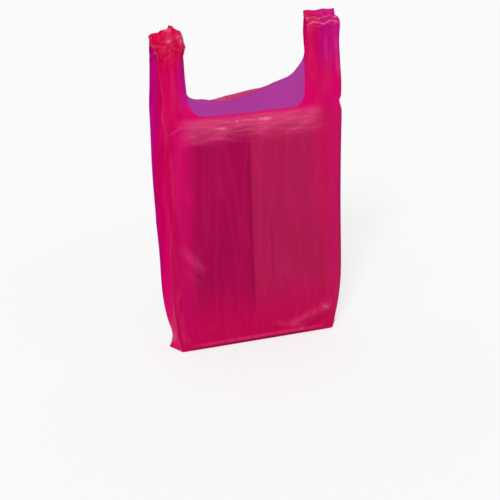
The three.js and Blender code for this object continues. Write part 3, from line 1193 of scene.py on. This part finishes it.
class FilmMarks:
    """The masks and patterns over the film that its material reads."""

    def __init__(self, tree):
        self.place = tree.attribute("film_place", "Vector")
        self.body = tree.attribute("body_zone")
        self.strips = tree.attribute("strip_zone")
        self.seal = tree.attribute("seal_zone")
        self.crushed = tree.attribute("crushed_zone")
        # Painted highlights on the rims and crease crests, painted shade in the crease valleys
        self.painted_roll_light = tree.attribute("rolled_rim_highlight")
        self.painted_crest_light = tree.attribute("painted_crease_highlight")
        self.painted_valley_shade = tree.attribute("painted_crease_shade")
        self.inner = tree.add("ShaderNodeNewGeometry").outputs["Backfacing"]
        across = tree.add("ShaderNodeSeparateXYZ")
        tree.feed(across.inputs[0], self.place)
        # The right half of the front is painted lighter, as shading
        self.right_half = tree.ramp(across.outputs["X"], CENTRE_FOLD - 0.002, CENTRE_FOLD + 0.005)
        self.low = tree.ramp(across.outputs["Y"], LOW_COLOUR_START, LOW_COLOUR_END)
        self.streaks = tree.noise(self.place, *STREAKS)
        self.clouds = tree.noise(self.place, *CLOUDS)
        # Where the painted pink highlight of the rims lies, broken into streaks
        lines = tree.ramp(tree.noise(self.place, *RIM_LINES), *RIM_LINE_RANGE)
        lines = tree.number(lines, *RIM_LINE_SHARES)
        rim = tree.maths("MULTIPLY", tree.attribute("rim_highlight_zone"), lines)
        self.painted_rim_light = tree.maths("MAXIMUM", rim, self.painted_roll_light)


def film_colour(tree, marks):
    """The colour that the film sends back, with painted highlights and painted shade in it."""
    # Painted lighter on the right half of the front, as shading
    filled = tree.blend(marks.right_half, BODY_RED, BODY_PAINTED_LIGHTER)
    filled = tree.blend(marks.low, filled, BODY_LOW)
    colour = tree.blend(marks.body, CRIMSON, filled)
    colour = tree.blend(marks.strips, colour, STRIP_PURPLE)
    # Painted shade on the inside of the bag, over its single-layer purple
    inside = tree.blend(tree.ramp(marks.clouds, *MAUVE_RANGE), INNER_SHADED_PURPLE, INNER_SHADED_MAUVE)
    colour = tree.blend(marks.inner, colour, inside)
    colour = tree.blend(marks.crushed, colour, CRUSHED_RED)
    # Painted highlight on the rims
    colour = tree.blend(marks.painted_rim_light, colour, RIM_PAINTED_HIGHLIGHT)
    # Painted highlight on the crease crests, then painted glints on them and on the rolled rim
    colour = tree.blend(marks.painted_crest_light, colour, PAINTED_HIGHLIGHT_PINK)
    glints = tree.maths("MULTIPLY", marks.painted_roll_light, tree.ramp(marks.clouds, *GLINT_RANGE))
    glints = tree.maths("MAXIMUM", glints, tree.ramp(marks.painted_crest_light, *PALE_GLINT_RANGE))
    colour = tree.blend(glints, colour, PAINTED_GLINT_PINK)
    # Painted shade in the crease valleys
    colour = tree.blend(marks.painted_valley_shade, colour, PAINTED_SHADE_RED)
    both = tree.maths("ADD", tree.maths("MULTIPLY", marks.streaks, 0.5),
                      tree.maths("MULTIPLY", marks.clouds, 0.5))
    lighter = tree.maths("MULTIPLY", tree.ramp(both, *LIGHTER_RANGE), LIGHTER_SHARE)
    return tree.blend(lighter, colour, LIGHTER_FILM)


def film_clearness(tree, marks):
    """The colour of the light that comes through."""
    through = tree.blend(marks.body, CLEAR_FILM, CLEAR_BODY)
    through = tree.blend(marks.strips, through, CLEAR_STRIP)
    return tree.blend(marks.inner, through, CLEAR_INNER)


def film_cover(tree, marks):
    """The share of light that the film stops."""
    cover = tree.number(marks.strips, OUTSIDE_COVER, STRIP_COVER)
    cover = tree.number(marks.inner, cover, INSIDE_COVER)
    cover = tree.number(marks.painted_rim_light, cover, RIM_COVER)
    cover = tree.number(marks.painted_crest_light, cover, CREASE_COVER)
    return tree.number(marks.seal, cover, SEAL_COVER)


def film_wrinkles(tree, marks):
    """The finest wrinkles, as a bump."""
    bump = tree.add("ShaderNodeBump")
    bump.inputs["Strength"].default_value = WRINKLE_STRENGTH
    bump.inputs["Distance"].default_value = WRINKLE_DEPTH
    wrinkle = tree.noise(marks.place, *WRINKLES, roughness=WRINKLE_GRAIN)
    tree.feed(bump.inputs["Height"], wrinkle)
    return bump.outputs[0]


def film_material():
    """Glossy film that glows a little when lit from behind, over a clear, coloured share."""
    tree = Tree("film")
    marks = FilmMarks(tree)
    colour = film_colour(tree, marks)
    wrinkles = film_wrinkles(tree, marks)
    gloss = tree.add("ShaderNodeBsdfPrincipled")
    tree.feed(gloss.inputs["Base Color"], colour)
    tree.feed(gloss.inputs["Roughness"], tree.number(marks.clouds, SMOOTHEST, ROUGHEST))
    gloss.inputs["Specular IOR Level"].default_value = REFLECTION
    gloss.inputs["Specular Tint"].default_value = REFLECTION_TINT
    tree.feed(gloss.inputs["Normal"], wrinkles)
    glow = tree.add("ShaderNodeBsdfTranslucent")
    tree.feed(glow.inputs["Color"], colour)
    tree.feed(glow.inputs["Normal"], wrinkles)
    clear = tree.add("ShaderNodeBsdfTransparent")
    tree.feed(clear.inputs["Color"], film_clearness(tree, marks))
    solid = tree.mix_shader(GLOW_SHARE, gloss.outputs[0], glow.outputs[0])
    whole = tree.mix_shader(film_cover(tree, marks), clear.outputs[0], solid)
    out = tree.add("ShaderNodeOutputMaterial")
    tree.links.new(whole, out.inputs["Surface"])
    return tree.material


set_camera()
set_studio()
make_floor()
bag, film_place, film_rest = build_film()
settle(bag, film_place, film_rest)
refine(bag)
crease(bag)
bag.data.materials.append(film_material())
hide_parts("film_bag")
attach(bag, "root")
